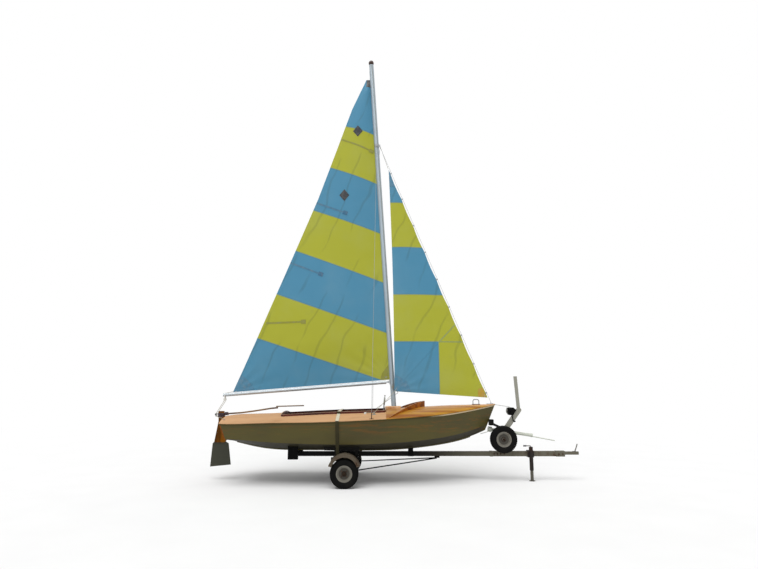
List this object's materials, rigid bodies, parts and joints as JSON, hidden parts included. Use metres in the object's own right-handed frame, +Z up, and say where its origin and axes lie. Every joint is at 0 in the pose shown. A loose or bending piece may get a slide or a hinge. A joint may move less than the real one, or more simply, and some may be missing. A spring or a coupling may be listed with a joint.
{
  "type": "sailing dinghy on a road trailer",
  "caption": "Hard-chine wooden sailing dinghy with main and jib set, lifting rudder and open cockpit, standing on a single-axle road trailer with jack and spare wheel.",
  "frame": {"origin": "on the floor, under the middle of the bounding box", "axes": "+X towards the bow and the trailer's coupler, +Y port, +Z up"},
  "size_m": [5.797, 1.676, 7.1576],
  "materials": {
    "hull_paint": "worn satin paint over plywood",
    "transom_wood": "varnished wood",
    "foredeck_varnish": "glossy orange varnish",
    "deck_wood": "thin weathered varnish",
    "dark_varnish": "dark red-brown varnish",
    "trunk_varnish": "orange-brown varnish",
    "rudder_varnish": "orange varnish",
    "tiller_wood": "worn varnish",
    "spar_alloy": "satin, weathered",
    "sail_cloth": "blue and yellow polyester cloth",
    "batten_plastic": "satin",
    "stainless": "satin",
    "block_plastic": "satin",
    "blade_alloy": "dull grey",
    "black_steel": "worn black paint",
    "grey_steel": "weathered grey paint with rust",
    "zinc_steel": "dull zinc with rust",
    "white_steel": "old white paint with rust",
    "tyre_rubber": "matte",
    "chock_rubber": "matte",
    "bunk_carpet": "black carpet",
    "webbing": "worn webbing"
  },
  "bodies": {
    "root": {"hull": "hull_paint", "transom": "transom_wood", "foredeck": "foredeck_varnish", "side_deck": "deck_wood", "coaming": "dark_varnish", "bulkheads": "dark_varnish", "floorboards": "dark_varnish", "board_trunk": "trunk_varnish", "centreboard": "trunk_varnish", "rub_rails": "dark_varnish", "splash_boards": "dark_varnish", "mast": "spar_alloy", "mast_step": "foredeck_varnish", "mast_ball": "dark_varnish", "hounds": "stainless", "shrouds": "stainless", "chainplates": "stainless", "forestay": "stainless", "stem_fitting": "stainless", "bow_hoop": "stainless", "gooseneck": "stainless", "jib": "sail_cloth", "jib_hanks": "stainless", "keel_strip": "trunk_varnish", "gudgeons": "stainless", "spine": "black_steel", "tongue": "grey_steel", "coupler": "grey_steel", "coupler_latch": "zinc_steel", "axle": "black_steel", "springs": "black_steel", "trailer_frame": "black_steel", "braces": "black_steel", "fender_port": "white_steel", "fender_starboard": "white_steel", "bunks": "bunk_carpet", "keel_prop": "black_steel", "cradle": "black_steel", "winch_post": "grey_steel", "winch": "zinc_steel", "bow_chock": "chock_rubber", "bow_arm": "white_steel", "jack_sleeve": "zinc_steel", "tie_strap": "webbing", "spare_rim": "white_steel", "spare_tyre": "tyre_rubber"},
    "boom": {"boom": "spar_alloy", "mainsheet_block": "block_plastic", "mainsail": "sail_cloth", "battens": "batten_plastic"},
    "rudder": {"rudder_head": "rudder_varnish", "tiller": "tiller_wood", "tiller_extension": "tiller_wood", "pintles": "stainless"},
    "blade": {"rudder_blade": "blade_alloy"},
    "wheel_port": {"rim_port": "white_steel", "tyre_port": "tyre_rubber"},
    "wheel_starboard": {"rim_starboard": "white_steel", "tyre_starboard": "tyre_rubber"},
    "jack": {"jack_leg": "zinc_steel"}
  },
  "joints": [
    {"name": "boom_swing", "type": "hinge", "parent": "root", "child": "boom", "pos_m": [-0.09597, 0, 1.51311], "axis": [-0.0628, 0, 0.998], "range_deg": [-60, 60]},
    {"name": "rudder_steer", "type": "hinge", "parent": "root", "child": "rudder", "pos_m": [-2.58758, 0, 0.58917], "axis": [-0.258, 0, 0.9662], "range_deg": [-35, 35]},
    {"name": "blade_lift", "type": "hinge", "parent": "rudder", "child": "blade", "pos_m": [-2.763, 0, 0.67], "axis": [0, 1, 0], "range_deg": [0, 75]},
    {"name": "wheel_spin_port", "type": "hinge", "parent": "root", "child": "wheel_port", "pos_m": [-0.748, 0.75, 0.2065], "axis": [0, 1, 0], "continuous": true},
    {"name": "wheel_spin_starboard", "type": "hinge", "parent": "root", "child": "wheel_starboard", "pos_m": [-0.748, -0.75, 0.2065], "axis": [0, 1, 0], "continuous": true},
    {"name": "jack_slide", "type": "slide", "parent": "root", "child": "jack", "axis": [0, 0, 1], "range_m": [0, 0.145]}
  ]
}
